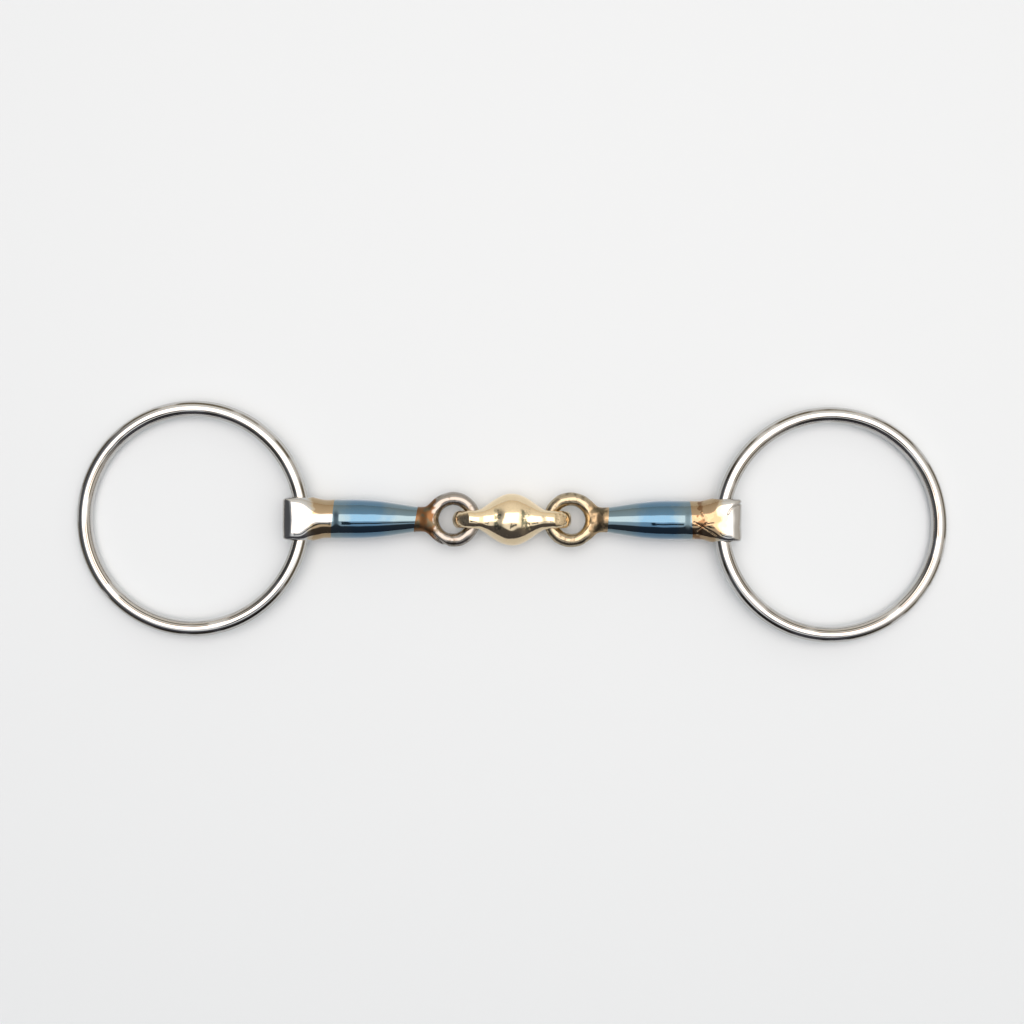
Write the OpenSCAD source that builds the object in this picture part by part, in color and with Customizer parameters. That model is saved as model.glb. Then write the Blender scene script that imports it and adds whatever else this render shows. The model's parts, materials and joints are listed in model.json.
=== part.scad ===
// Loose-ring snaffle bit with a double-jointed mouthpiece, lying flat.
// X runs along the mouthpiece, Y across it and Z up from the surface it lies on.
// The origin is on that surface, under the middle of the centre lozenge.

/* [Rings] */
// Outside diameter of each loose ring
ring_od = 75; // [65:1:90]
// Diameter of the round bar that each ring is bent from
ring_bar_d = 5; // [4:0.5:5]
// How far the right ring lies askew in its bore, in degrees
right_ring_lie = 2.2; // [0:0.2:2.2]

/* [Butts] */
// Distance between the two ring bores
bore_spacing = 134; // [126:1:150]
// Diameter of the bore that the ring runs through
bore_d = 7.1; // [7.1:0.1:7.4]
// Width of each butt across the bit
butt_w = 14.3; // [13:0.1:15]
// Thickness of each butt, and the diameter of its rounded nose
butt_t = 11.3; // [11:0.1:12]

/* [Barrels] */
// Diameter of each barrel at its thickest
barrel_d = 12.4; // [11:0.1:12.8]
// Diameter of each barrel at its eye end
neck_d = 7.8; // [7:0.1:8.4]
// Distance from the bit's middle to each barrel's eye end
barrel_start = 30.5; // [30:0.1:31.5]
// Length of each barrel
barrel_l = 26.3; // [20:0.1:26.5]

/* [Eyes] */
// Diameter of the hole in each arm's eye
eye_hole_d = 9; // [8.6:0.1:9.2]
// Diameter of the round bar that forms each eye
eye_bar_d = 4.2; // [4:0.1:4.4]

/* [Centre lozenge] */
// Length of the bean, without its ears
bean_l = 19.4; // [18.6:0.1:19.6]
// Width of the bean across the bit
bean_w = 16.5; // [14:0.1:17]
// Thickness of the bean
bean_t = 14.8; // [13.2:0.1:15]
// Distance from the bit's middle to the hole in each ear
ear_reach = 12.4; // [12.3:0.1:12.5]
// Diameter of the hole in each ear
ear_hole_d = 5.5; // [5.4:0.1:5.6]
// Width of each ear across the bit
ear_w = 5.4; // [5:0.1:5.6]
// Thickness of the loop round each ear's hole
ear_loop_t = 3.75; // [3.5:0.05:3.8]

/* [Hidden] */
$fn = 64;
LEFT = -1;
RIGHT = 1;

// Height of the mouthpiece's centre line: the lozenge lies on its bean
axis_h = bean_t / 2;

// The ring's centre line, and how deep its arc bends inside the bore
ring_r = (ring_od - ring_bar_d) / 2;
ring_arc_depth = ring_r - sqrt(pow(ring_r, 2) - pow(butt_w / 2, 2));
ring_reach = ring_r - ring_arc_depth / 2;
// Each ring slopes down from its bore until its far side lies on the surface
ring_slope = asin((axis_h - ring_bar_d / 2) / (ring_reach + ring_r));

bore_x = bore_spacing / 2;
barrel_end = barrel_start + barrel_l;
// The butt widens from the barrel's end to its full width over this length
butt_flare_l = 7;
butt_corner_r = 1.2;
// The butt's nose is chamfered at this angle over this length, and its edges are rounded
nose_slope = 30;
nose_chamfer_l = 2.95;
nose_edge_r = 1.2;
// Rounding radius of the butt's long edges, taken about the centre line
butt_edge_r = 8.4;

// The barrel swells along a quarter of a sine wave, in this many steps, and then stays level
SWELL_STEPS = 12;
swell_l = 19.5;

// The eye's bar turns through the middle of the ear's hole with this much offset
link_offset = 0.3;
eye_r = (eye_hole_d + eye_bar_d) / 2;
eye_x = ear_reach - link_offset + eye_r;
// The neck flattens from the barrel's end to this distance from the bit's middle
neck_end = 24.6;
neck_flat_t = 3.6;
neck_flare_w = 12.6;

// The lozenge's bean rises to its full thickness over this distance from its middle
crown_reach = 8;
// Clearance round the eye's bar where it turns through the lozenge
eye_play = 0.4;
// How finely the lozenge is lofted: sections along it, and points round each
SECTIONS = 32;
SECTION_POINTS = 28;

// Lays a shape that is drawn along +X from the bit's middle on its own side, at axis height
module on_side(side) {
    translate([0, 0, axis_h])
        rotate([0, 0, side == LEFT ? 180 : 0])
            children();
}

// A solid of revolution about the X axis, from a profile of [distance along X, radius]
module turned(profile) {
    first = profile[0][0];
    last = profile[len(profile) - 1][0];
    rotate([0, 90, 0])
        rotate([0, 0, 180])
            rotate_extrude()
                polygon(concat([[0, first]], [for (p = profile) [p[1], p[0]]], [[0, last]]));
}

// An outline drawn in X and Z, pushed out to both sides along Y
module across(width) {
    rotate([90, 0, 0])
        linear_extrude(height = width, center = true)
            children();
}

module loose_ring(side, lie) {
    color("gainsboro")
        translate([side * bore_x, 0, axis_h])
            rotate([0, side * ring_slope, 0])
                rotate([0, 0, -lie])
                    translate([side * ring_reach, 0, 0])
                        rotate_extrude($fn = 128)
                            translate([ring_r, 0])
                                circle(d = ring_bar_d);
}

// The top view of a butt: it widens from the barrel and ends in two rounded corners
module butt_plan() {
    nose = bore_x + butt_t / 2;
    half = butt_w / 2;
    inset = half - butt_corner_r;
    polygon([
        [barrel_end, -barrel_d / 2],
        [barrel_end + butt_flare_l, -half],
        [nose - butt_corner_r, -half],
        [nose - butt_corner_r, half],
        [barrel_end + butt_flare_l, half],
        [barrel_end, barrel_d / 2],
    ]);
    translate([nose - 2 * butt_corner_r, -inset])
        square([2 * butt_corner_r, 2 * inset]);
    for (s = [-1, 1])
        translate([nose - butt_corner_r, s * inset])
            circle(r = butt_corner_r);
}

// The side view of a butt: flat cheeks that run into a chamfered nose with rounded edges
module butt_side() {
    nose = bore_x + butt_t / 2;
    run = nose_chamfer_l - nose_edge_r;
    edge_z = butt_t / 2 - run * tan(nose_slope) - nose_edge_r / cos(nose_slope);
    hull() {
        polygon([
            [barrel_end, -barrel_d / 2],
            [nose - nose_chamfer_l, -butt_t / 2],
            [nose - nose_chamfer_l, butt_t / 2],
            [barrel_end, barrel_d / 2],
        ]);
        for (s = [-1, 1])
            translate([nose - nose_edge_r, s * edge_z])
                circle(r = nose_edge_r);
    }
}

module butt(side) {
    color("silver")
        on_side(side)
            difference() {
                intersection() {
                    linear_extrude(height = 2 * butt_edge_r, center = true)
                        butt_plan();
                    across(2 * butt_edge_r)
                        butt_side();
                    turned([
                        [barrel_end, barrel_d / 2],
                        [barrel_end + butt_flare_l, butt_edge_r],
                        [bore_x + butt_t, butt_edge_r],
                    ]);
                }
                translate([bore_x, 0, 0])
                    rotate([90, 0, 0])
                        cylinder(d = bore_d, h = butt_w + 2, center = true);
            }
}

module barrel(side) {
    swell = (barrel_d - neck_d) / 2;
    color("steelblue")
        on_side(side)
            turned(concat(
                [for (i = [0:SWELL_STEPS])
                    [barrel_start + swell_l * i / SWELL_STEPS,
                     neck_d / 2 + swell * sin(90 * i / SWELL_STEPS)]],
                [[barrel_end, barrel_d / 2]]
            ));
}

// The eye's hole with its rounded edges, as a solid to cut away
module eye_core() {
    rotate_extrude()
        difference() {
            translate([0, -neck_d])
                square([eye_r, 2 * neck_d]);
            translate([eye_r, 0])
                circle(d = eye_bar_d);
        }
}

// The neck turns from the barrel's round end into a flat web that carries the eye
module neck() {
    root = eye_x + eye_hole_d / 2 - 1;
    intersection() {
        linear_extrude(height = 2 * neck_d, center = true)
            polygon([
                [barrel_start, -neck_d / 2],
                [barrel_start, neck_d / 2],
                [barrel_start - 2.6, neck_d / 2 + 0.1],
                [neck_end, neck_flare_w / 2],
                [root, neck_flare_w / 2],
                [root, -neck_flare_w / 2],
                [neck_end, -neck_flare_w / 2],
                [barrel_start - 2.6, -neck_d / 2 - 0.1],
            ]);
        across(2 * neck_flare_w)
            polygon([
                [barrel_start, -neck_d / 2],
                [barrel_start, neck_d / 2],
                [neck_end, neck_flat_t / 2],
                [root, neck_flat_t / 2],
                [root, -neck_flat_t / 2],
                [neck_end, -neck_flat_t / 2],
            ]);
        turned([
            [root, neck_flare_w],
            [neck_end, neck_flare_w / 2],
            [barrel_start, neck_d / 2],
        ]);
    }
}

module eye(side) {
    color("tan")
        on_side(side)
            union() {
                translate([eye_x, 0, 0])
                    rotate_extrude()
                        translate([eye_r, 0])
                            circle(d = eye_bar_d);
                difference() {
                    neck();
                    translate([eye_x, 0, 0])
                        eye_core();
                }
            }
}

// 0 up to the start and 1 from the end, with a smooth rise between
function rise(x, start, end) =
    let (t = min(max((x - start) / (end - start), 0), 1))
        t * t * (3 - 2 * t);

// The larger of two values, with a smooth change from one to the other
function blend_max(a, b, reach) =
    max(a, b) + reach * pow(max(1 - abs(a - b) / reach, 0), 3) / 6;

// Half the lozenge's width: the bean's cosine curve runs into each ear
function lozenge_half_w(x) =
    let (root = ear_w / 2 + 0.5,
         bean = root + (bean_w / 2 - root) * cos(min(180 * abs(x) / bean_l, 120)),
         ear = ear_w / 2 + 0.65 * (1 - rise(abs(x), 8, 13)))
        blend_max(bean, ear, 2.4);

// Half the lozenge's thickness: a crown on the bean, and a slight rise towards each ear
function lozenge_half_t(x) =
    let (ear = ear_hole_d / 2 + ear_loop_t,
         waist = ear - 0.5)
        waist + (bean_t / 2 - waist) * pow(cos(min(90 * abs(x) / crown_reach, 90)), 2)
            + (ear - waist) / 2 * rise(abs(x), crown_reach, ear_reach);

// A section is an ellipse in the bean, and squarer towards the ears
function lozenge_squareness(x) = 2 + rise(abs(x), 5, 11);

function lozenge_section(x) =
    let (w = lozenge_half_w(x), t = lozenge_half_t(x), p = 2 / lozenge_squareness(x))
        [for (i = [0:SECTION_POINTS - 1])
            let (a = 360 * i / SECTION_POINTS, c = cos(a), s = sin(a))
                [x, w * sign(c) * pow(abs(c), p), t * sign(s) * pow(abs(s), p)]];

// The bean and the roots of its ears, as a loft through its sections
module lozenge_loft() {
    end = ear_reach + 1;
    n = SECTION_POINTS;
    points = [for (j = [0:SECTIONS])
        each lozenge_section(end * (2 * j / SECTIONS - 1))];
    sides = [for (j = [0:SECTIONS - 1], i = [0:n - 1])
        let (a = j * n + i, b = j * n + (i + 1) % n)
            each [[a, a + n, b + n], [a, b + n, b]]];
    polyhedron(points, concat(
        sides,
        [[for (i = [0:n - 1]) i]],
        [[for (i = [n - 1:-1:0]) SECTIONS * n + i]]
    ));
}

// The space in which the bar of an arm's eye turns through the lozenge
module eye_path() {
    translate([eye_x, 0, 0])
        rotate_extrude()
            translate([eye_r, 0])
                circle(d = eye_bar_d + 2 * eye_play);
}

// A loop that stands on edge round the hole of an ear, with rounded rims
module ear_loop() {
    loop_r = (ear_hole_d + ear_loop_t) / 2;
    rim = (ear_w - ear_loop_t) / 2;
    rotate([90, 0, 0])
        rotate_extrude()
            translate([loop_r, 0]) {
                square([ear_loop_t, 2 * rim], center = true);
                for (s = [-1, 1])
                    translate([0, s * rim])
                        circle(d = ear_loop_t);
            }
}

module centre_lozenge() {
    color("khaki")
        translate([0, 0, axis_h])
            difference() {
                union() {
                    difference() {
                        lozenge_loft();
                        for (side = [LEFT, RIGHT])
                            translate([side * ear_reach, 0, 0])
                                rotate([90, 0, 0])
                                    cylinder(d = ear_hole_d + 0.2, h = 2 * bean_w, center = true);
                    }
                    for (side = [LEFT, RIGHT])
                        translate([side * ear_reach, 0, 0])
                            ear_loop();
                }
                for (side = [LEFT, RIGHT])
                    rotate([0, 0, side == LEFT ? 180 : 0])
                        eye_path();
            }
}

loose_ring(LEFT, 0);  // left_ring
butt(LEFT);  // left_butt
barrel(LEFT);  // left_barrel
eye(LEFT);  // left_eye
centre_lozenge();
eye(RIGHT);  // right_eye
barrel(RIGHT);  // right_barrel
butt(RIGHT);  // right_butt
loose_ring(RIGHT, right_ring_lie);  // right_ring
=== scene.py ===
"""A loose-ring snaffle bit with a double-jointed mouthpiece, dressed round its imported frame.

The rings are swept bar, made by Geometry Nodes. The two arms and the centre lozenge are forged and
cast pieces whose parts flow into each other, so each is one smooth field, blended from simple
solids, that is skinned with a fine mesh and cut where its finish changes.
"""

import json
import math

import bmesh
import bpy
import numpy as np
from bpy.props import FloatProperty, FloatVectorProperty, PointerProperty
from mathutils import Matrix, Vector


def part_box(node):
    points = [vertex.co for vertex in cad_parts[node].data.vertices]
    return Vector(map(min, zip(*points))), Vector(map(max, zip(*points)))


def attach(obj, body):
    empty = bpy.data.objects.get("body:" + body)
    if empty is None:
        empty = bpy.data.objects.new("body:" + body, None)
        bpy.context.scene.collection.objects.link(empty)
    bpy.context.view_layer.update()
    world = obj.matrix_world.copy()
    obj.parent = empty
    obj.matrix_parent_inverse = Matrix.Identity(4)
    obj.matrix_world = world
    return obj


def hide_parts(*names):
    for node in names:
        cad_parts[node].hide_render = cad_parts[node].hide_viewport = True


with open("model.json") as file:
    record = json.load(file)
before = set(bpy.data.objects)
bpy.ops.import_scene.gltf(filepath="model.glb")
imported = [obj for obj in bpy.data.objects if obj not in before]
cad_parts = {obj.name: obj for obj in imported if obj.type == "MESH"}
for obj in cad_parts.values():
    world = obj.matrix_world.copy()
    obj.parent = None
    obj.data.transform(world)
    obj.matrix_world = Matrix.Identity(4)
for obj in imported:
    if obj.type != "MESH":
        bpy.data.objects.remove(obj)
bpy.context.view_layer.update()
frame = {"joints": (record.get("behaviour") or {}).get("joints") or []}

bl_info = {
    "name": "Snaffle Bit",
    "version": (1, 0, 0),
    "blender": (4, 5, 0),
    "location": "3D View > Sidebar > Snaffle Bit",
    "description": "Builds a loose-ring snaffle bit piece by piece on its CAD frame",
    "category": "Add Mesh",
}

MM = 0.001
JOINTS = {joint["name"]: joint for joint in frame["joints"]}
EYE_X, _, AXIS_H = JOINTS["right_arm_fold"]["pos_m"]
BORE_X = JOINTS["right_ring_swivel"]["pos_m"][0]
BARREL_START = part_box("right_barrel")[0].x
BARREL_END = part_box("right_barrel")[1].x
BARREL_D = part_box("right_barrel")[1].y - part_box("right_barrel")[0].y
BUTT_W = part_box("right_butt")[1].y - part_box("right_butt")[0].y
EYE_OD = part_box("right_eye")[1].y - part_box("right_eye")[0].y
RING_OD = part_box("left_ring")[1].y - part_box("left_ring")[0].y
LOZENGE_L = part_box("centre_lozenge")[1].x * 2
LOZENGE_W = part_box("centre_lozenge")[1].y * 2
SIDES = {"left": -1, "right": 1}
# Where each point of a ring's mesh was before the ring was put in its place
OWN_PLACE = "own_place"


# ---------------------------------------------------------------- sizes and colours

def length(name, description, default):
    return FloatProperty(name=name, description=description, default=default, unit="LENGTH",
                         subtype="DISTANCE", precision=5)


def linear(hex_code):
    """An sRGB hex colour as linear red, green, blue and alpha."""
    parts = [int(hex_code[i:i + 2], 16) / 255 for i in (1, 3, 5)]
    return [c / 12.92 if c <= 0.04045 else ((c + 0.055) / 1.055) ** 2.4 for c in parts] + [1.0]


def colour(name, description, hex_code):
    return FloatVectorProperty(name=name, description=description, default=linear(hex_code)[:3],
                               subtype="COLOR", size=3, min=0.0, max=1.0)


class BitSizes(bpy.types.PropertyGroup):
    """The sizes that set the bit's shape. The frame gives the rest."""
    ring_bar: length("Ring bar", "Diameter of the bar that each ring is bent from", 5.0 * MM)
    ring_arc: length("Ring arc", "How deep the ring's arc bends inside its bore", 0.738 * MM)
    bore: length("Bore", "Diameter of the bore that the ring runs through", 7.1 * MM)
    butt_thickness: length("Butt thickness", "Thickness of each butt across its cheeks", 11.3 * MM)
    neck: length("Neck", "Diameter of each barrel where its eye begins", 7.8 * MM)
    swell: length("Swell", "Length over which each barrel swells to its full diameter", 19.5 * MM)
    eye_bar: length("Eye bar", "Diameter of the bar of each eye", 4.2 * MM)
    bean: length("Bean", "Length of the lozenge without its ears", 19.4 * MM)
    ear_reach: length("Ear reach", "Distance from the middle to the hole in each ear", 12.4 * MM)
    ear_hole: length("Ear hole", "Diameter of the hole in each ear", 5.5 * MM)
    ear_width: length("Ear width", "Width of each ear across the bit", 5.4 * MM)
    cell: length("Cell", "Size of the cells that the smooth pieces are skinned with", 0.26 * MM)


class BitColours(bpy.types.PropertyGroup):
    """The colours that the finishes start from."""
    steel: colour("Steel", "Polished stainless steel", "#DAD8D5")
    straw: colour("Straw", "Steel tempered to straw", "#D6C6AC")
    tan: colour("Tan", "Steel tempered to a deeper straw", "#BFA684")
    gold: colour("Gold", "Steel tempered to a dull gold", "#B69C7C")
    bronze: colour("Bronze", "Steel tempered to a dull bronze", "#BFB096")
    pewter: colour("Pewter", "Steel tempered to a greyer bronze", "#AEA7A0")
    brown: colour("Brown", "Steel tempered to brown", "#856040")
    umber: colour("Umber", "The darkest of the heat colours", "#6F6450")
    blue: colour("Blue", "Steel tempered to blue", "#2A6F93")
    slate: colour("Slate", "The paler blue towards a barrel's ends", "#5F7F8C")
    brass: colour("Brass", "Polished brass alloy", "#FEE7C0")
    tarnish: colour("Tarnish", "Tarnished brass", "#8A7048")
    # Painted reflection: this dark greenish grey is painted beside the lozenge's crown and stands in for
    # the dark stand mirrored in its hollows
    painted_reflection_green: colour("Verdigris", "Brass tarnished to a greenish grey", "#5C6654")
    floor: colour("Floor", "The pale floor", "#E1EAF1")


def sizes():
    return bpy.context.scene.bit_sizes


def colours():
    return bpy.context.scene.bit_colours


# ---------------------------------------------------------------- nodes and finishes

def add(tree, kind, inputs=None, **settings):
    """Adds a node, sets its properties, and gives each named input a value or another node's socket."""
    node = tree.nodes.new(kind)
    for key, value in settings.items():
        setattr(node, key, value)
    for key, value in (inputs or {}).items():
        socket = node.inputs[key]
        if isinstance(value, bpy.types.NodeSocket):
            tree.links.new(value, socket)
        else:
            socket.default_value = value
    return node


def ramp(tree, factor, stops, mode="EASE"):
    """A colour ramp through (position, colour) stops."""
    node = add(tree, "ShaderNodeValToRGB", {"Fac": factor})
    node.color_ramp.interpolation = mode
    elements = node.color_ramp.elements
    while len(elements) < len(stops):
        elements.new(0.5)
    for element, (position, shade) in zip(elements, stops):
        element.position = position
        element.color = (*tuple(shade)[:3], 1.0)
    return node.outputs["Color"]


def span(tree, value, start, end, low=0.0, high=1.0):
    """A value mapped smoothly from start..end to low..high, and held beyond them."""
    node = add(tree, "ShaderNodeMapRange",
               {"Value": value, "From Min": start, "From Max": end, "To Min": low, "To Max": high},
               interpolation_type="SMOOTHSTEP")
    return node.outputs["Result"]


def calc(tree, operation, a, b=None):
    """The result of a Math node."""
    node = add(tree, "ShaderNodeMath", {0: a} if b is None else {0: a, 1: b}, operation=operation)
    return node.outputs["Value"]


def mix(tree, factor, a, b, how="MIX"):
    node = add(tree, "ShaderNodeMix", data_type="RGBA", blend_type=how)
    for key, value in ((0, factor), (6, a), (7, b)):
        if isinstance(value, bpy.types.NodeSocket):
            tree.links.new(value, node.inputs[key])
        elif key == 0:
            node.inputs[key].default_value = value
        else:
            node.inputs[key].default_value = (*tuple(value)[:3], 1.0)
    return node.outputs[2]


def noise(tree, place, feature, detail=3.0, offset=0.0):
    """Noise whose features are about this many metres across."""
    spot = add(tree, "ShaderNodeMapping", {"Vector": place, "Location": (offset, offset, offset)})
    return add(tree, "ShaderNodeTexNoise",
               {"Vector": spot.outputs["Vector"], "Scale": 1 / feature, "Detail": detail,
                "Roughness": 0.55}).outputs["Fac"]


# How far apart the clouds that buffing leaves, the waves of hand polishing and the hairlines lie, and
# how much the hairlines are drawn out along the bit
CLOUD_SPACING = 2.2 * MM
WAVE_SPACING = 4.0 * MM
HAIRLINE_SPACING = 0.25 * MM
HAIRLINE_SQUEEZE = 0.12


def metal(name, shade, roughness, wave=0.0, scratch=0.0):
    """A polished metal: (material, tree, shader, object coordinates). Hand polishing leaves the
    surface faintly wavy over a few millimetres, and the buffing wheel leaves hairline scratches."""
    material = bpy.data.materials.new(name)
    material.use_nodes = True
    material.diffuse_color = (*tuple(shade)[:3], 1.0)
    tree = material.node_tree
    shader = tree.nodes["Principled BSDF"]
    shader.inputs["Base Color"].default_value = (*tuple(shade)[:3], 1.0)
    shader.inputs["Metallic"].default_value = 1.0
    place = add(tree, "ShaderNodeTexCoord").outputs["Object"]
    cloud = noise(tree, place, CLOUD_SPACING, detail=4.0)
    tree.links.new(span(tree, cloud, 0.3, 0.7, roughness * 0.8, roughness * 1.25),
                   shader.inputs["Roughness"])
    normal = None
    if wave:
        height = noise(tree, place, WAVE_SPACING, detail=1.0, offset=0.31)
        normal = add(tree, "ShaderNodeBump", {"Height": height, "Distance": wave, "Strength": 1.0})
    if scratch:
        stretched = add(tree, "ShaderNodeMapping",
                        {"Vector": place, "Scale": (HAIRLINE_SQUEEZE, 1.0, 1.0)})
        hair = noise(tree, stretched.outputs["Vector"], HAIRLINE_SPACING, detail=2.0)
        inputs = {"Height": hair, "Distance": scratch, "Strength": 1.0}
        if normal:
            inputs["Normal"] = normal.outputs["Normal"]
        normal = add(tree, "ShaderNodeBump", inputs)
    if normal:
        tree.links.new(normal.outputs["Normal"], shader.inputs["Normal"])
    return material, tree, shader, place


def on_bit(tree, place):
    """How far a point lies from the bit's middle and from its centre line, and 0 on the left half
    or 1 on the right."""
    axis = add(tree, "ShaderNodeSeparateXYZ", {"Vector": place}).outputs
    out, aside = calc(tree, "ABSOLUTE", axis["X"]), calc(tree, "ABSOLUTE", axis["Y"])
    return out, aside, span(tree, axis["X"], -MM, MM)


def wandering(tree, place, distance, reach, feature):
    """The distance, pushed to and fro by noise, so that a heat colour's edge isn't straight."""
    push = span(tree, noise(tree, place, feature, detail=2.0, offset=0.17), 0.25, 0.75, -reach, reach)
    return calc(tree, "ADD", distance, push)


def polished_stainless():
    """Stainless bar, drawn, bent and buffed to a mirror: neutral, with sharp reflections, and with
    a few long die lines that run round the ring."""
    hue = colours()
    material, tree, shader, place = metal("polished_stainless_steel", hue.steel, 0.07,
                                          wave=0.008 * MM)
    own = add(tree, "ShaderNodeAttribute", attribute_name=OWN_PLACE).outputs["Vector"]
    axis = add(tree, "ShaderNodeSeparateXYZ", {"Vector": own}).outputs
    out = calc(tree, "SQRT", calc(tree, "ADD", calc(tree, "POWER", axis["X"], 2.0),
                                  calc(tree, "POWER", axis["Y"], 2.0)))
    across = add(tree, "ShaderNodeCombineXYZ", {"X": out, "Y": axis["Z"]}).outputs["Vector"]
    level = calc(tree, "SUBTRACT", noise(tree, across, 1.5 * MM, detail=0.0, offset=0.013), 0.5)
    line = span(tree, calc(tree, "ABSOLUTE", level), 0.02, 0.06, 0.9, 0.0)
    kept = span(tree, noise(tree, place, 9.0 * MM, detail=1.0, offset=0.37), 0.38, 0.56)
    line = calc(tree, "MULTIPLY", line, kept)
    tree.links.new(mix(tree, line, hue.steel, hue.umber), shader.inputs["Base Color"])
    return material


def straw_tempered():
    """Polished steel heated to straw. On the left it is silver at the nose and tan on the flanks by the
    barrel; the silver along its crest is painted highlight, put where the overhead light's reflection
    falls so that it shows white. The right one took more heat: dull gold in patches, with a brown one
    where the flame played longest, and pale only at its nose."""
    hue = colours()
    material, tree, shader, place = metal("straw_tempered_steel", hue.straw, 0.09,
                                          wave=0.016 * MM, scratch=0.0015 * MM)
    out, aside, right = on_bit(tree, place)
    out = wandering(tree, place, out, 1.6 * MM, 5.0 * MM)
    along = span(tree, out, BARREL_END, BORE_X + 2.5 * MM)
    left = ramp(tree, along, [(0.0, hue.tan), (0.36, hue.tan), (0.46, hue.straw), (0.7, hue.steel)])
    # Painted highlight: silver along the left butt's crest, where the overhead light's reflection falls,
    # so that it shows white rather than tan
    left = mix(tree, span(tree, aside, 0.9 * MM, 1.9 * MM), hue.steel, left)
    patch = span(tree, noise(tree, place, 3.0 * MM, detail=1.0, offset=0.61), 0.5, 0.53)
    warm = mix(tree, patch, hue.gold, hue.tan)
    pale = mix(tree, span(tree, along, 0.86, 0.97), hue.straw, hue.steel)
    scorch = span(tree, noise(tree, place, 3.4 * MM, detail=2.0, offset=0.57), 0.46, 0.51)
    scorch = calc(tree, "MULTIPLY", scorch, span(tree, along, 0.12, 0.3, 0.85, 0.0))
    warm = mix(tree, scorch, mix(tree, span(tree, along, 0.74, 0.82), warm, pale), hue.brown)
    tree.links.new(mix(tree, right, left, warm), shader.inputs["Base Color"])
    return material


def heat_blued():
    """Polished steel heated to a clear blue, greyer near both ends. The oxide is a hard clear skin
    of high refractive index, so it adds a strong colourless reflection of its own."""
    hue = colours()
    material, tree, shader, place = metal("heat_blued_steel", hue.blue, 0.07, wave=0.010 * MM,
                                          scratch=0.001 * MM)
    out = wandering(tree, place, on_bit(tree, place)[0], 1.6 * MM, 4.0 * MM)
    along = span(tree, out, BARREL_START, BARREL_END)
    shade = ramp(tree, along, [(0.0, hue.slate), (0.1, hue.slate), (0.45, hue.blue),
                               (0.85, hue.blue), (1.0, hue.slate)])
    tree.links.new(shade, shader.inputs["Base Color"])
    shader.inputs["Coat Weight"].default_value = 1.0
    shader.inputs["Coat Roughness"].default_value = 0.05
    shader.inputs["Coat IOR"].default_value = 2.0
    return material


def bronze_tempered():
    """Steel heated until its neck turned a dull brown and its eye a greyed bronze. It is less finely
    polished than the rest, and the scale on the neck is nearly matt. The left eye is the greyer
    one, and the right neck is mostly umber."""
    hue = colours()
    material, tree, shader, place = metal("bronze_tempered_steel", hue.bronze, 0.2,
                                          wave=0.030 * MM)
    out, _, right = on_bit(tree, place)
    scale = span(tree, wandering(tree, place, out, 0.7 * MM, 2.6 * MM), 24.3 * MM, 25.0 * MM)
    patch = noise(tree, place, 2.2 * MM, detail=2.0, offset=0.83)
    brown = mix(tree, span(tree, patch, 0.5, 0.68), hue.brown, hue.umber)
    olive = mix(tree, span(tree, patch, 0.34, 0.56), hue.umber, hue.tan)
    neck = mix(tree, right, brown, olive)
    eye = mix(tree, right, hue.pewter, hue.bronze)
    stain = span(tree, noise(tree, place, 2.4 * MM, detail=4.0, offset=0.41), 0.5, 0.66, 0.0, 0.75)
    eye = mix(tree, stain, eye, hue.umber)
    tree.links.new(mix(tree, scale, eye, neck), shader.inputs["Base Color"])
    tree.links.new(span(tree, scale, 0.0, 1.0, 0.2, 0.36), shader.inputs["Roughness"])
    return material


# Where darker greenish patches are painted beside the lozenge's crown, as painted reflection of the dark
# stand in the hollows there: place along it and reach
PAINTED_REFLECTION_SPOTS = ((-4.5 * MM, 1.5 * MM), (4.3 * MM, 1.9 * MM))


def polished_brass():
    """A pale brass alloy, cast and polished: warm gold, with soft-edged reflections. Tarnish stays in
    specks on the ears where the eyes' bars rub. Two darker greenish patches beside the crown are painted
    reflection of the dark stand in the hollows there."""
    hue = colours()
    material, tree, shader, place = metal("polished_brass_alloy", hue.brass, 0.10,
                                          wave=0.022 * MM, scratch=0.0015 * MM)
    axis = add(tree, "ShaderNodeSeparateXYZ", {"Vector": place}).outputs
    # Painted reflection: darker greenish patches beside the crown, above the centre line, where the
    # hollows there mirror the dark stand
    painted_reflection = 0.0
    for at, reach in PAINTED_REFLECTION_SPOTS:
        beside = calc(tree, "ABSOLUTE", calc(tree, "SUBTRACT", axis["X"], at))
        painted_reflection = calc(tree, "ADD", painted_reflection, span(tree, beside, reach / 2, reach, 1.0, 0.0))
    crest = span(tree, calc(tree, "ABSOLUTE", axis["Y"]), 2.4 * MM, 4.0 * MM, 1.0, 0.0)
    above = span(tree, axis["Z"], AXIS_H + 2 * MM, AXIS_H + 3 * MM)
    cloud = span(tree, noise(tree, place, 1.5 * MM, detail=4.0, offset=0.47), 0.4, 0.58, 0.0, 0.85)
    for limit in (crest, above, cloud):
        painted_reflection = calc(tree, "MULTIPLY", painted_reflection, limit)
    specks = span(tree, noise(tree, place, 0.7 * MM, detail=3.0, offset=0.29), 0.54, 0.64)
    ends = span(tree, on_bit(tree, place)[0], 12 * MM, 16 * MM, 0.05, 0.7)
    specks = calc(tree, "MULTIPLY", specks, ends)
    shade = mix(tree, painted_reflection, mix(tree, specks, hue.brass, hue.tarnish), hue.painted_reflection_green)
    tree.links.new(shade, shader.inputs["Base Color"])
    return material


# ---------------------------------------------------------------- smooth fields, in millimetres

def eased(value, start, end):
    """0 before start and 1 after end, with no kink between."""
    t = np.clip((value - start) / (end - start), 0, 1)
    return t * t * t * (t * (6 * t - 15) + 10)


def joined(a, b, radius):
    """Two solids as one, with a fillet."""
    near = np.maximum(radius - np.abs(a - b), 0) / radius
    return np.minimum(a, b) - near ** 3 * radius / 6


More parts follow.
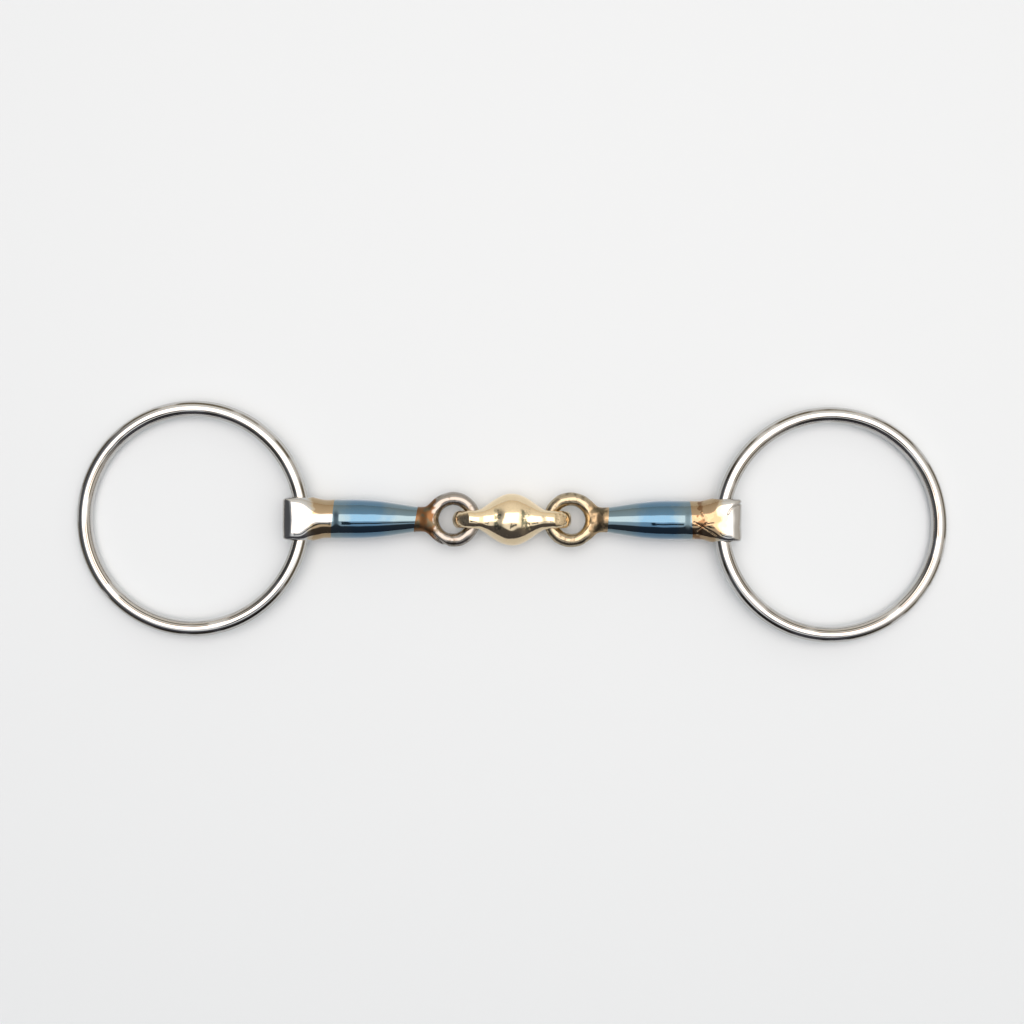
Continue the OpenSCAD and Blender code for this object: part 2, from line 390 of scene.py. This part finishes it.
def cut(a, b, radius):
    """The first solid without the second, with a rounded edge."""
    return -joined(-a, b, radius)


def trimmed(a, b, radius):
    """What two solids share, with a rounded edge."""
    return -joined(-a, -b, radius)


def rounded(u, v, half_u, half_v, squareness):
    """A bar of this section: an ellipse at squareness 2, and nearer to a rectangle above it."""
    far = np.abs(u / half_u) ** squareness + np.abs(v / half_v) ** squareness
    return (far ** (1 / squareness) - 1) * np.minimum(half_u, half_v)


def wavy(x, y, z, feature, shift):
    """The gentle unevenness of hand grinding, between about -1 and 1."""
    k = 2 * math.pi / feature
    return (np.sin(k * (x + 0.31 * y) + shift) * np.cos(k * (0.71 * y - 0.23 * x + 0.4 * z))
            + 0.6 * np.sin(k * (0.83 * z + 0.57 * x + 0.44 * y) + 2.3 * shift)) / 1.6


def along_line(x, y, corners):
    """Distance in plan to a line through these corners."""
    nearest = np.inf
    for (x0, y0), (x1, y1) in zip(corners, corners[1:]):
        run, rise = x1 - x0, y1 - y0
        t = np.clip(((x - x0) * run + (y - y0) * rise) / (run * run + rise * rise), 0, 1)
        nearest = np.minimum(nearest, np.hypot(x - x0 - t * run, y - y0 - t * rise))
    return nearest


# The marks that the smith left on each arm, as corners in plan, width and depth: on the left (-1) the
# line where the eye was welded to its neck, and on the right (1) a hairline where the butt was closed
# and the file's scratches
MARKS = {
    -1: ((((25.4, 4.4), (24.1, 5.7), (22.2, 7.2), (20.6, 8.4)), 0.38, 0.32),),
    1: ((((68.2, 2.0), (68.8, 3.3), (70.1, 4.4), (72.6, 5.4)), 0.26, 0.42),
        (((57.4, -0.6), (60.6, -2.3), (64.5, -5.0)), 0.2, 0.13),
        (((58.5, -3.4), (61.4, -0.8)), 0.2, 0.13),
        (((60.0, 2.2), (60.8, -1.4), (63.6, -0.9)), 0.18, 0.1)),
}


# How far each side of an arm is drawn in where its butt begins, in millimetres
BUTT_WAIST = 0.12
# How far each side of the butt narrows towards its nose, in millimetres
NOSE_TAPER = 0.5
# How far each face is flattened at the barrel's outer end and at the neck, in millimetres
BARREL_FLATTENING = 0.7
NECK_FLATTENING = 2.1
# The butt's section at its nose: 2 is an ellipse, and above it nearer to a rectangle
BUTT_SQUARENESS = 5.6
# The nose's chamfer: its length in millimetres and its slope
CHAMFER_LENGTH = 2.95
CHAMFER_SLOPE = math.radians(30)
# Fillet radii in millimetres
CHAMFER_FILLET = 0.9
NOSE_FILLET = 1.7
EYE_FILLET = 2.6
BORE_FILLET = 0.7
# The height of the hand-ground unevenness in millimetres: all over, what the eye adds to it, and what
# each butt adds to it. The swells' spacing is in millimetres too.
BARREL_SWELLS = 0.012
EYE_SWELLS = 0.075
BUTT_SWELLS = {-1: 0.03, 1: 0.07}
ARM_SWELL_SPACING = 5.5


def arm_field(side, s):
    """One arm, from the eye to the nose of the butt, with x outwards along its centre line."""
    start, end, bore_x, eye_x = (v / MM for v in (BARREL_START, BARREL_END, BORE_X, EYE_X))
    nose_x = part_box("right_butt")[1].x / MM
    thin, thick = s.neck / MM / 2, BARREL_D / MM / 2
    butt_w, butt_t = BUTT_W / MM / 2, s.butt_thickness / MM / 2
    eye_bar = s.eye_bar / MM / 2
    eye_r = EYE_OD / MM / 2 - eye_bar
    bore = s.bore / MM / 2

    def field(x, y, z):
        swell = (x - start) / (s.swell / MM)
        swell = np.minimum((swell + np.sqrt(swell * swell + 0.004)) / 2, 1)
        radius = thin + (thick - thin) * np.sin(swell * math.pi / 2)
        half_w = radius + (butt_w - thick) * eased(x, end + 1.4, bore_x - 1.2)
        waist = eased(x, end - 1.5, end + 1.5) * (1 - eased(x, end + 1.5, bore_x - 4))
        half_w = half_w - BUTT_WAIST * waist
        half_w = half_w - NOSE_TAPER * eased(x, bore_x - 1.5, nose_x + 0.5)
        half_t = radius - BARREL_FLATTENING * eased(x, end - 3.4, end + 0.8)
        half_t = half_t + (butt_t - thick + BARREL_FLATTENING) * eased(x, end + 0.8, end + 7)
        half_t = half_t - NECK_FLATTENING * eased(-x, 0.3 - start, 5.6 - start)
        square = 2 + (BUTT_SQUARENESS - 2) * eased(x, end + 3, bore_x + 3.5) ** 1.5
        body = rounded(y, z, half_w, half_t, square)
        chamfer = (x - nose_x + CHAMFER_LENGTH) * math.sin(CHAMFER_SLOPE)
        chamfer = chamfer + (np.abs(z) - butt_t) * math.cos(CHAMFER_SLOPE)
        body = trimmed(trimmed(body, chamfer, CHAMFER_FILLET), x - nose_x, NOSE_FILLET)
        out = np.hypot(x - eye_x, y)
        eye = np.hypot(out - eye_r, z) - eye_bar
        neck = np.maximum(np.maximum(body, eye_r - out), eye_x - x)
        body = joined(neck, eye, EYE_FILLET)
        body = cut(body, np.hypot(x - bore_x, z) - bore, BORE_FILLET)
        swells = BARREL_SWELLS + EYE_SWELLS * (1 - eased(x, 23, start))
        swells = swells + BUTT_SWELLS[side] * eased(x, end, end + 5)
        body = body + swells * wavy(x, y, z, ARM_SWELL_SPACING, side)
        for corners, width, depth in MARKS[side]:
            body = body + depth * np.exp(-(along_line(x, y, corners) / width) ** 2) * (z > -1)
        return body

    return field


# Hollows and casting pits in the lozenge's upper side, as place along it, place across it, reach
# along it, reach across it and depth
PITS = ((4.9, -1.5, 0.5, 0.5, 0.12), (3.6, -0.4, 0.35, 0.35, 0.07), (5.8, -2.7, 0.4, 0.4, 0.09),
        (-1.3, -5.2, 0.3, 0.3, 0.07), (-4.5, 1.0, 1.3, 2.4, 0.13), (4.3, -0.3, 1.3, 1.6, 0.12))


# How much wider each side of the bean's ends is than an ear, in millimetres
ROOT_WIDTH = 0.5
# How far each side of an ear widens towards the bean, in millimetres
EAR_SHOULDER = 0.65
# How much lower each face of the waist between bean and ear is than the ear's loop, in millimetres
WAIST_DROP = 0.5
# How far from the middle the crown on the bean reaches, in millimetres
CROWN_REACH = 8
# Fillet radii in millimetres: bean to ear in plan, ear's end, loop to bean, hole and eye's path
PLAN_FILLET = 2.4
END_FILLET = 0.8
LOOP_FILLET = 1.5
HOLE_FILLET = 0.7
PATH_FILLET = 0.8
# Clearance round the bar of each arm's eye, in millimetres
EYE_PLAY = 0.4
# The height of the casting's unevenness in millimetres: all over, and what the ears add to it. The
# swells' spacing is in millimetres too.
BEAN_SWELLS = 0.04
EAR_SWELLS = 0.04
CASTING_SWELL_SPACING = 4.6


def lozenge_field(s):
    """The centre lozenge: a crowned bean that flows into a bored ear at each end."""
    bean_w, bean_t = LOZENGE_W / MM / 2, AXIS_H / MM
    bean_l = s.bean / MM / 2
    reach, hole, ear_w = s.ear_reach / MM, s.ear_hole / MM / 2, s.ear_width / MM / 2
    ear_t = LOZENGE_L / MM / 2 - reach
    bar = (ear_t - hole) / 2
    eye_bar = s.eye_bar / MM / 2
    eye_r = EYE_OD / MM / 2 - eye_bar

    def field(x, y, z):
        out = np.abs(x)
        root = ear_w + ROOT_WIDTH
        bean = root + (bean_w - root) * np.cos(np.minimum(out / bean_l, 1.3) * math.pi / 2)
        ear = ear_w + EAR_SHOULDER * (1 - eased(out, 7.5, 13.5))
        half_w = -joined(-bean, -ear, PLAN_FILLET)
        waist = ear_t - WAIST_DROP
        crown = np.cos(np.minimum(out / CROWN_REACH, 1) * math.pi / 2) ** 2
        half_t = waist + (bean_t - waist) * crown + WAIST_DROP / 2 * eased(out, 7.5, reach)
        square = 2 + 0.35 * eased(out, 5, 11)
        body = rounded(y, z, half_w, half_t, square)
        body = trimmed(body, out - reach - 1.2, END_FILLET)
        loop = rounded(y, np.hypot(out - reach, z) - hole - bar, ear_w, bar, 2.1)
        body = joined(body, loop, LOOP_FILLET)
        body = cut(body, np.hypot(out - reach, z) - hole, HOLE_FILLET)
        path = np.hypot(np.hypot(out - EYE_X / MM, y) - eye_r, z) - eye_bar - EYE_PLAY
        body = cut(body, path, PATH_FILLET)
        swells = BEAN_SWELLS + EAR_SWELLS * eased(out, 9, 14)
        body = body + swells * wavy(x, y, z, CASTING_SWELL_SPACING, 0.4)
        for px, py, reach_x, reach_y, depth in PITS:
            far = ((x - px) / reach_x) ** 2 + ((y - py) / reach_y) ** 2
            body = body + depth * np.exp(-far) * (z > 0)
        return body

    return field


# ---------------------------------------------------------------- skinning

# How often each vertex is pulled towards the surface
PULLS = 4
# Corners of a mesh that are nearer than this, in millimetres, become one
SAME_SPOT = 0.025
# How near to a seam plane a point counts as cut by it, and a face's middle as lying in it, in millimetres
CUT_NEAR = 1e-4
FACE_NEAR = 0.01
# A face is square to a seam plane's direction when their normals' product is above this
SQUARE_ON = 0.9999


def skin(field, low, high, cell):
    """Vertices, quads and normals of the surface where a field is zero: one vertex in each cell that
    the surface crosses, then each vertex is pulled onto the surface along the field's slope."""
    count = [int(math.ceil((h - l) / cell)) + 1 for l, h in zip(low, high)]
    axes = [l + cell * np.arange(n) for l, n in zip(low, count)]
    value = field(*np.meshgrid(*axes, indexing="ij"))
    inside = value < 0
    shape = [n - 1 for n in count]
    corners = [(i, j, k) for i in (0, 1) for j in (0, 1) for k in (0, 1)]

    def corner(array, c):
        return array[tuple(slice(o, o + n) for o, n in zip(c, shape))]

    held = sum(corner(inside, c).astype(int) for c in corners)
    cells = np.argwhere((held > 0) & (held < 8))
    number = -np.ones(shape, int)
    number[tuple(cells.T)] = np.arange(len(cells))
    total, weight = np.zeros((len(cells), 3)), np.zeros(len(cells))
    for a in corners:
        for axis in range(3):
            if a[axis]:
                continue
            b = tuple(o + (i == axis) for i, o in enumerate(a))
            va, vb = (corner(value, c)[tuple(cells.T)] for c in (a, b))
            crossed = (va < 0) != (vb < 0)
            t = np.where(crossed, va / np.where(crossed, va - vb, 1), 0)
            spot = np.array(a) + t[:, None] * (np.array(b) - np.array(a))
            total += np.where(crossed[:, None], spot, 0)
            weight += crossed
    points = np.array(low) + cell * (cells + total / weight[:, None])
    quads = []
    for axis in range(3):
        u, v = [i for i in range(3) if i != axis]
        ahead = [slice(None)] * 3
        ahead[axis] = slice(1, None)
        behind = [slice(None)] * 3
        behind[axis] = slice(None, -1)
        first, second = inside[tuple(behind)], inside[tuple(ahead)]
        for entering in (False, True):
            edges = np.argwhere((second & ~first) if entering else (first & ~second))
            edges = edges[(edges[:, u] > 0) & (edges[:, v] > 0)]
            ring = []
            for du, dv in ((1, 1), (0, 1), (0, 0), (1, 0)):
                spot = edges.copy()
                spot[:, u] -= du
                spot[:, v] -= dv
                ring.append(number[tuple(spot.T)])
            ring = np.stack(ring, axis=1)
            quads.append(ring[:, ::-1] if entering == (axis != 1) else ring)
    for _ in range(PULLS):
        slope = gradient(field, points)
        points = points - (field(*points.T) / (slope ** 2).sum(1))[:, None] * slope
    return points, np.concatenate(quads)


def gradient(field, points, step=0.004):
    """The field's slope at each point, which on the surface points outwards."""
    columns = []
    for axis in range(3):
        shift = np.zeros(3)
        shift[axis] = step
        columns.append(field(*(points + shift).T) - field(*(points - shift).T))
    return np.stack(columns, axis=1) / (2 * step)


def solid_mesh(name, field, low, high, cell):
    """A closed mesh of a field's surface, facing outwards, in the field's own millimetres."""
    points, quads = skin(field, low, high, cell)
    mesh = bpy.data.meshes.new(name)
    mesh.from_pydata(points.tolist(), [], quads.tolist())
    work = bmesh.new()
    work.from_mesh(mesh)
    bmesh.ops.remove_doubles(work, verts=work.verts, dist=SAME_SPOT)
    bmesh.ops.recalc_face_normals(work, faces=work.faces)
    work.to_mesh(mesh)
    work.free()
    return mesh


def seam_plane(at, lean):
    """A cut across an arm at this distance along it, leaning by this much for each unit of y."""
    return Vector((at, 0, 0)), Vector((1, -lean, 0)).normalized()


def section(mesh, name, inner, outer):
    """The stretch of a mesh between two seam planes, closed with flat ends."""
    work = bmesh.new()
    work.from_mesh(mesh)
    for plane, direction in ((inner, -1), (outer, 1)):
        if plane is None:
            continue
        geometry = work.verts[:] + work.edges[:] + work.faces[:]
        made = bmesh.ops.bisect_plane(work, geom=geometry, plane_co=plane[0],
                                      plane_no=plane[1] * direction, clear_outer=True,
                                      dist=CUT_NEAR)
        rim = [e for e in made["geom_cut"] if isinstance(e, bmesh.types.BMEdge)]
        for face in bmesh.ops.contextual_create(work, geom=rim)["faces"]:
            if face.normal.dot(plane[1]) * direction < 0:
                face.normal_flip()
    part = bpy.data.meshes.new(name)
    work.to_mesh(part)
    work.free()
    return part


def finish_mesh(mesh, field, matrix, material, planes=()):
    """Gives each corner the field's own normal, except on the flat ends, and puts it all in place."""
    count = len(mesh.vertices)
    points = np.empty(count * 3)
    mesh.vertices.foreach_get("co", points)
    points = points.reshape(-1, 3)
    slope = gradient(field, points)
    slope /= np.linalg.norm(slope, axis=1)[:, None]
    corner_vertex = np.empty(len(mesh.loops), int)
    mesh.loops.foreach_get("vertex_index", corner_vertex)
    normals = slope[corner_vertex]
    for face in mesh.polygons:
        for at, across in planes:
            square_on = abs(face.normal.dot(across)) > SQUARE_ON
            if square_on and abs((face.center - at).dot(across)) < FACE_NEAR:
                normals[list(face.loop_indices)] = face.normal
    turned = normals @ np.array(matrix.to_3x3()).T
    turned /= np.linalg.norm(turned, axis=1)[:, None]
    mesh.transform(matrix)
    mesh.polygons.foreach_set("use_smooth", [True] * len(mesh.polygons))
    mesh.normals_split_custom_set(turned.tolist())
    mesh.materials.append(material)
    mesh.update()


def place_on(side):
    """From an arm's own millimetres to its place in the frame."""
    turn = Matrix.Rotation(math.pi if side < 0 else 0.0, 4, "Z")
    return Matrix.Translation((0, 0, AXIS_H)) @ turn @ Matrix.Scale(MM, 4)


def show(name, mesh, body, node):
    """A finished piece: it stands for its CAD node, which it hides, and rides on its body."""
    piece = bpy.data.objects.new(name, mesh)
    bpy.context.scene.collection.objects.link(piece)
    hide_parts(node)
    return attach(piece, body)


# ---------------------------------------------------------------- rings, by geometry nodes

# Points along each ring and round its bar
RING_POINTS = 288
BAR_POINTS = 56


def ring_tree(material):
    """A bent ring of round bar: a circle swept along a circle, yawed in its bore and sloped."""
    tree = bpy.data.node_groups.new("bent_ring", "GeometryNodeTree")
    sockets = (("Centre line radius", "NodeSocketFloat"), ("Bar radius", "NodeSocketFloat"),
               ("Reach", "NodeSocketVector"), ("Lie", "NodeSocketVector"),
               ("Bore", "NodeSocketVector"))
    for name, kind in sockets:
        tree.interface.new_socket(name=name, in_out="INPUT", socket_type=kind)
    tree.interface.new_socket(name="Geometry", in_out="OUTPUT", socket_type="NodeSocketGeometry")
    given = tree.nodes.new("NodeGroupInput").outputs
    path = add(tree, "GeometryNodeCurvePrimitiveCircle",
               {"Resolution": RING_POINTS, "Radius": given["Centre line radius"]})
    bar = add(tree, "GeometryNodeCurvePrimitiveCircle",
              {"Resolution": BAR_POINTS, "Radius": given["Bar radius"]})
    swept = add(tree, "GeometryNodeCurveToMesh",
                {"Curve": path.outputs["Curve"], "Profile Curve": bar.outputs["Curve"]})
    own = add(tree, "GeometryNodeStoreNamedAttribute",
              {"Geometry": swept.outputs["Mesh"], "Name": OWN_PLACE,
               "Value": tree.nodes.new("GeometryNodeInputPosition").outputs["Position"]},
              data_type="FLOAT_VECTOR", domain="POINT")
    moved = add(tree, "GeometryNodeTransform",
                {"Geometry": own.outputs["Geometry"], "Translation": given["Reach"]})
    turned = add(tree, "GeometryNodeTransform",
                 {"Geometry": moved.outputs["Geometry"], "Rotation": given["Lie"],
                  "Translation": given["Bore"]})
    smooth = add(tree, "GeometryNodeSetShadeSmooth", {"Geometry": turned.outputs["Geometry"]})
    real = add(tree, "GeometryNodeRealizeInstances", {"Geometry": smooth.outputs["Geometry"]})
    painted = add(tree, "GeometryNodeSetMaterial",
                  {"Geometry": real.outputs["Geometry"], "Material": material})
    result = tree.nodes.new("NodeGroupOutput")
    tree.links.new(painted.outputs["Geometry"], result.inputs["Geometry"])
    return tree


def made_by(tree, name, **values):
    """The mesh that a geometry node tree makes from these inputs."""
    maker = bpy.data.objects.new(name, bpy.data.meshes.new(name))
    bpy.context.scene.collection.objects.link(maker)
    modifier = maker.modifiers.new("maker", "NODES")
    modifier.node_group = tree
    for item in tree.interface.items_tree:
        key = item.name.lower().replace(" ", "_")
        if item.item_type == "SOCKET" and item.in_out == "INPUT" and key in values:
            modifier[item.identifier] = values[key]
    maker.update_tag()
    graph = bpy.context.evaluated_depsgraph_get()
    mesh = bpy.data.meshes.new_from_object(maker.evaluated_get(graph))
    bpy.data.objects.remove(maker)
    mesh.name = name
    return mesh


def right_ring_lie():
    """How far the right ring lies askew, from where its box's middle has moved to."""
    low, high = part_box("right_ring")
    return -math.atan2(high.y + low.y, high.x + low.x - 2 * BORE_X)


class BIT_OT_rings(bpy.types.Operator):
    """Sweep the two loose rings"""
    bl_idname = "bit.rings"
    bl_label = "Loose rings"

    def execute(self, context):
        s = sizes()
        radius = (RING_OD - s.ring_bar) / 2
        reach = radius - s.ring_arc / 2
        slope = math.asin((AXIS_H - s.ring_bar / 2) / (reach + radius))
        tree = ring_tree(polished_stainless())
        for name, side in SIDES.items():
            lie = right_ring_lie() if side > 0 else 0.0
            turn = Matrix.Rotation(side * slope, 4, "Y") @ Matrix.Rotation(-lie, 4, "Z")
            mesh = made_by(tree, f"{name}_ring_bar", centre_line_radius=radius,
                           bar_radius=s.ring_bar / 2, reach=(side * reach, 0.0, 0.0),
                           lie=tuple(turn.to_euler()), bore=(side * BORE_X, 0.0, AXIS_H))
            show(f"{name}_ring_bar", mesh, f"{name}_ring", f"{name}_ring")
        return {"FINISHED"}


# How far each finish's edge leans, per unit across the arm: at the eye and at the butt
LEANS = {"left": (0.16, 0.09), "right": (0.06, -0.07)}
# How far the space that an arm's field is skinned in goes, in millimetres: inwards from the middle of
# the eye, beyond the nose, and to each side and each way up from the centre line
SPACE_IN = 9.2
SPACE_OUT = 0.6
SPACE_ASIDE = 9.3
SPACE_UP = 6.9


class BIT_OT_arms(bpy.types.Operator):
    """Forge the two arms, each with its butt, barrel and eye"""
    bl_idname = "bit.arms"
    bl_label = "Arms"

    def execute(self, context):
        s = sizes()
        cell = s.cell / MM
        low = (EYE_X / MM - SPACE_IN, -SPACE_ASIDE, -SPACE_UP)
        high = (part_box("right_butt")[1].x / MM + SPACE_OUT, SPACE_ASIDE, SPACE_UP)
        finishes = {"butt": straw_tempered(), "barrel": heat_blued(), "eye": bronze_tempered()}
        for name, side in SIDES.items():
            field = arm_field(side, s)
            whole = solid_mesh(f"{name}_arm", field, low, high, cell)
            at_eye = seam_plane(BARREL_START / MM, LEANS[name][0])
            at_butt = seam_plane(BARREL_END / MM, LEANS[name][1])
            stretches = {"butt": (at_butt, None), "barrel": (at_eye, at_butt), "eye": (None, at_eye)}
            for part, (inner, outer) in stretches.items():
                mesh = section(whole, f"{name}_{part}_forging", inner, outer)
                finish_mesh(mesh, field, place_on(side), finishes[part], (at_eye, at_butt))
                show(f"{name}_{part}_forging", mesh, f"{name}_arm", f"{name}_{part}")
            bpy.data.meshes.remove(whole)
        return {"FINISHED"}


class BIT_OT_lozenge(bpy.types.Operator):
    """Cast the centre lozenge"""
    bl_idname = "bit.lozenge"
    bl_label = "Centre lozenge"

    def execute(self, context):
        s = sizes()
        field = lozenge_field(s)
        half = Vector((LOZENGE_L / MM / 2, LOZENGE_W / MM / 2, AXIS_H / MM))
        reach = half + Vector((SPACE_OUT, SPACE_OUT, SPACE_OUT))
        mesh = solid_mesh("lozenge_casting", field, tuple(-reach), tuple(reach), s.cell / MM)
        finish_mesh(mesh, field, place_on(1), polished_brass())
        show("lozenge_casting", mesh, "lozenge", "centre_lozenge")
        return {"FINISHED"}


# ---------------------------------------------------------------- floor, light and camera

FLOOR_HALF = 3.0
# What one image width covers at the height of the mouthpiece, and how far above the bit's centre
# line the picture is centred
VIEW_WIDTH = 0.3251
VIEW_RISE = 2.4 * MM
LENS_MM, SENSOR_MM = 90.0, 36.0
CAMERA_ROLL = math.radians(0.2)


def studio_floor():
    """A pale card with a satin face: from above it adds a soft sheen of the light overhead."""
    material = bpy.data.materials.new("satin_card")
    material.use_nodes = True
    shader = material.node_tree.nodes["Principled BSDF"]
    shader.inputs["Base Color"].default_value = (*colours().floor, 1.0)
    shader.inputs["Roughness"].default_value = 0.5
    shader.inputs["Metallic"].default_value = 0.28
    return material


# What each side of the room looks like, from overhead down to the horizon: the angle from straight
# up in degrees, and the light from there in red, green and blue
SIDES_SEEN = {
    ("X", 1): ((26, 1.5, 1.4, 1.3), (40, 1.15, 1.1, 1.05), (52, 0.64, 0.6, 0.55),
               (90, 0.44, 0.4, 0.35)),
    ("X", -1): ((26, 1.0, 1.0, 1.0), (34, 0.5, 0.52, 0.55), (50, 0.09, 0.095, 0.105),
                (70, 0.09, 0.092, 0.1), (90, 0.22, 0.21, 0.2)),
    ("Y", 1): ((26, 1.0, 0.97, 0.93), (40, 0.86, 0.84, 0.8), (65, 0.74, 0.71, 0.66),
               (90, 0.58, 0.53, 0.46)),
    ("Y", -1): ((10, 0.9, 0.9, 0.9), (40, 0.8, 0.82, 0.85), (45, 0.07, 0.07, 0.08),
                (90, 0.05, 0.05, 0.06)),
}
# The light overhead: its colour, its edges in degrees from straight up along X and Y, and how soft
# those edges are
OVERHEAD = (2.7, 2.4, 2.2)
OVERHEAD_X = 28
OVERHEAD_Y = (-14, 28)
OVERHEAD_SOFT_X, OVERHEAD_SOFT_Y = 4.0, 1.5
# The arm that the camera hangs from and its clamp, seen against the ceiling: their edges in degrees
# from straight up along X and Y, how soft those edges are, and their shade
STAND = (((-6, 20), (-30, -22.5)), ((-8, -4), (-35, -16)))
STAND_SOFT_X, STAND_SOFT_Y = 0.7, 0.6
STAND_SHADE = (0.02, 0.025, 0.03)
# What the camera sees beyond the floor
BACKDROP = (0.83, 0.83, 0.83, 1.0)
# The room's colours are divided by this inside the node tree, and its strength multiplies them again
ROOM_STRENGTH = 2.0


def studio_world():
    """A wide soft light overhead, pale walls behind and to the right, and an unlit room in front
    and to the left, which gives the polished metal its dark bands."""
    world = bpy.data.worlds.new("studio")
    world.use_nodes = True
    tree = world.node_tree
    tree.nodes.clear()
    place = add(tree, "ShaderNodeTexCoord").outputs["Generated"]
    axis = add(tree, "ShaderNodeSeparateXYZ", {"Vector": place}).outputs
    down = calc(tree, "MULTIPLY", calc(tree, "ARCCOSINE", axis["Z"]), 2 / math.pi)
    flat = calc(tree, "SQRT", calc(tree, "ADD", calc(tree, "POWER", axis["X"], 2.0),
                                   calc(tree, "POWER", axis["Y"], 2.0)))
    seen = (0.0, 0.0, 0.0)
    for (name, sign), stops in SIDES_SEEN.items():
        share = calc(tree, "DIVIDE", calc(tree, "MULTIPLY", axis[name], float(sign)), flat)
        share = calc(tree, "POWER", calc(tree, "MAXIMUM", share, 0.0), 2.0)
        share = span(tree, share, 0.15, 0.85)
        wall = ramp(tree, down, [(angle / 90, [c / ROOM_STRENGTH for c in shade])
                                 for angle, *shade in stops], "LINEAR")
        seen = mix(tree, 1.0, seen, mix(tree, share, (0, 0, 0), wall), "ADD")
    tilt_x, tilt_y = (calc(tree, "MULTIPLY", calc(tree, "ARCTAN2", axis[name], axis["Z"]),
                           180 / math.pi) for name in ("X", "Y"))

    def between(value, low, high, soft):
        return calc(tree, "MULTIPLY", span(tree, value, low - soft, low + soft),
                    span(tree, value, high - soft, high + soft, 1.0, 0.0))

    lit = calc(tree, "MULTIPLY", between(tilt_x, -OVERHEAD_X, OVERHEAD_X, OVERHEAD_SOFT_X),
               between(tilt_y, *OVERHEAD_Y, OVERHEAD_SOFT_Y))
    seen = mix(tree, lit, seen, [c / ROOM_STRENGTH for c in OVERHEAD])
    for across, along in STAND:
        hidden = calc(tree, "MULTIPLY", between(tilt_x, *across, STAND_SOFT_X),
                      between(tilt_y, *along, STAND_SOFT_Y))
        seen = mix(tree, hidden, seen, STAND_SHADE)
    room = add(tree, "ShaderNodeBackground", {"Color": seen, "Strength": ROOM_STRENGTH})
    plain = add(tree, "ShaderNodeBackground", {"Color": BACKDROP, "Strength": 1.0})
    camera = add(tree, "ShaderNodeLightPath").outputs["Is Camera Ray"]
    both = add(tree, "ShaderNodeMixShader", {0: camera, 1: room.outputs["Background"],
                                             2: plain.outputs["Background"]})
    result = tree.nodes.new("ShaderNodeOutputWorld")
    tree.links.new(both.outputs["Shader"], result.inputs["Surface"])
    return world


class BIT_OT_stage(bpy.types.Operator):
    """Set up the floor, the light and the camera"""
    bl_idname = "bit.stage"
    bl_label = "Stage"

    def execute(self, context):
        half = FLOOR_HALF
        mesh = bpy.data.meshes.new("floor")
        mesh.from_pydata([(-half, -half, 0), (half, -half, 0), (half, half, 0), (-half, half, 0)],
                         [], [(0, 1, 2, 3)])
        mesh.materials.append(studio_floor())
        floor = bpy.data.objects.new("floor", mesh)
        context.scene.collection.objects.link(floor)
        context.scene.world = studio_world()
        data = bpy.data.cameras.new("camera")
        data.lens = LENS_MM
        data.sensor_width = SENSOR_MM
        camera = bpy.data.objects.new("camera", data)
        context.scene.collection.objects.link(camera)
        camera.location = (0.0, VIEW_RISE, AXIS_H + VIEW_WIDTH * LENS_MM / SENSOR_MM)
        camera.rotation_euler.z = CAMERA_ROLL
        context.scene.camera = camera
        context.scene.view_settings.view_transform = "Standard"
        return {"FINISHED"}


class BIT_PT_panel(bpy.types.Panel):
    """Lists the bit's sizes, colours and building steps"""
    bl_label = "Snaffle Bit"
    bl_idname = "BIT_PT_panel"
    bl_space_type = "VIEW_3D"
    bl_region_type = "UI"
    bl_category = "Snaffle Bit"

    def draw(self, context):
        layout = self.layout
        for group in (context.scene.bit_sizes, context.scene.bit_colours):
            box = layout.box()
            for name in group.bl_rna.properties.keys():
                if name not in ("name", "rna_type"):
                    box.prop(group, name)
        for operator in STEPS:
            layout.operator(operator.bl_idname)


STEPS = (BIT_OT_rings, BIT_OT_arms, BIT_OT_lozenge, BIT_OT_stage)
CLASSES = (BitSizes, BitColours, *STEPS, BIT_PT_panel)


def register():
    for cls in CLASSES:
        bpy.utils.register_class(cls)
    bpy.types.Scene.bit_sizes = PointerProperty(type=BitSizes)
    bpy.types.Scene.bit_colours = PointerProperty(type=BitColours)


def unregister():
    del bpy.types.Scene.bit_colours
    del bpy.types.Scene.bit_sizes
    for cls in reversed(CLASSES):
        bpy.utils.unregister_class(cls)


def main():
    register()
    bpy.ops.bit.rings()
    bpy.ops.bit.arms()
    bpy.ops.bit.lozenge()
    bpy.ops.bit.stage()


if __name__ == "__main__":
    main()
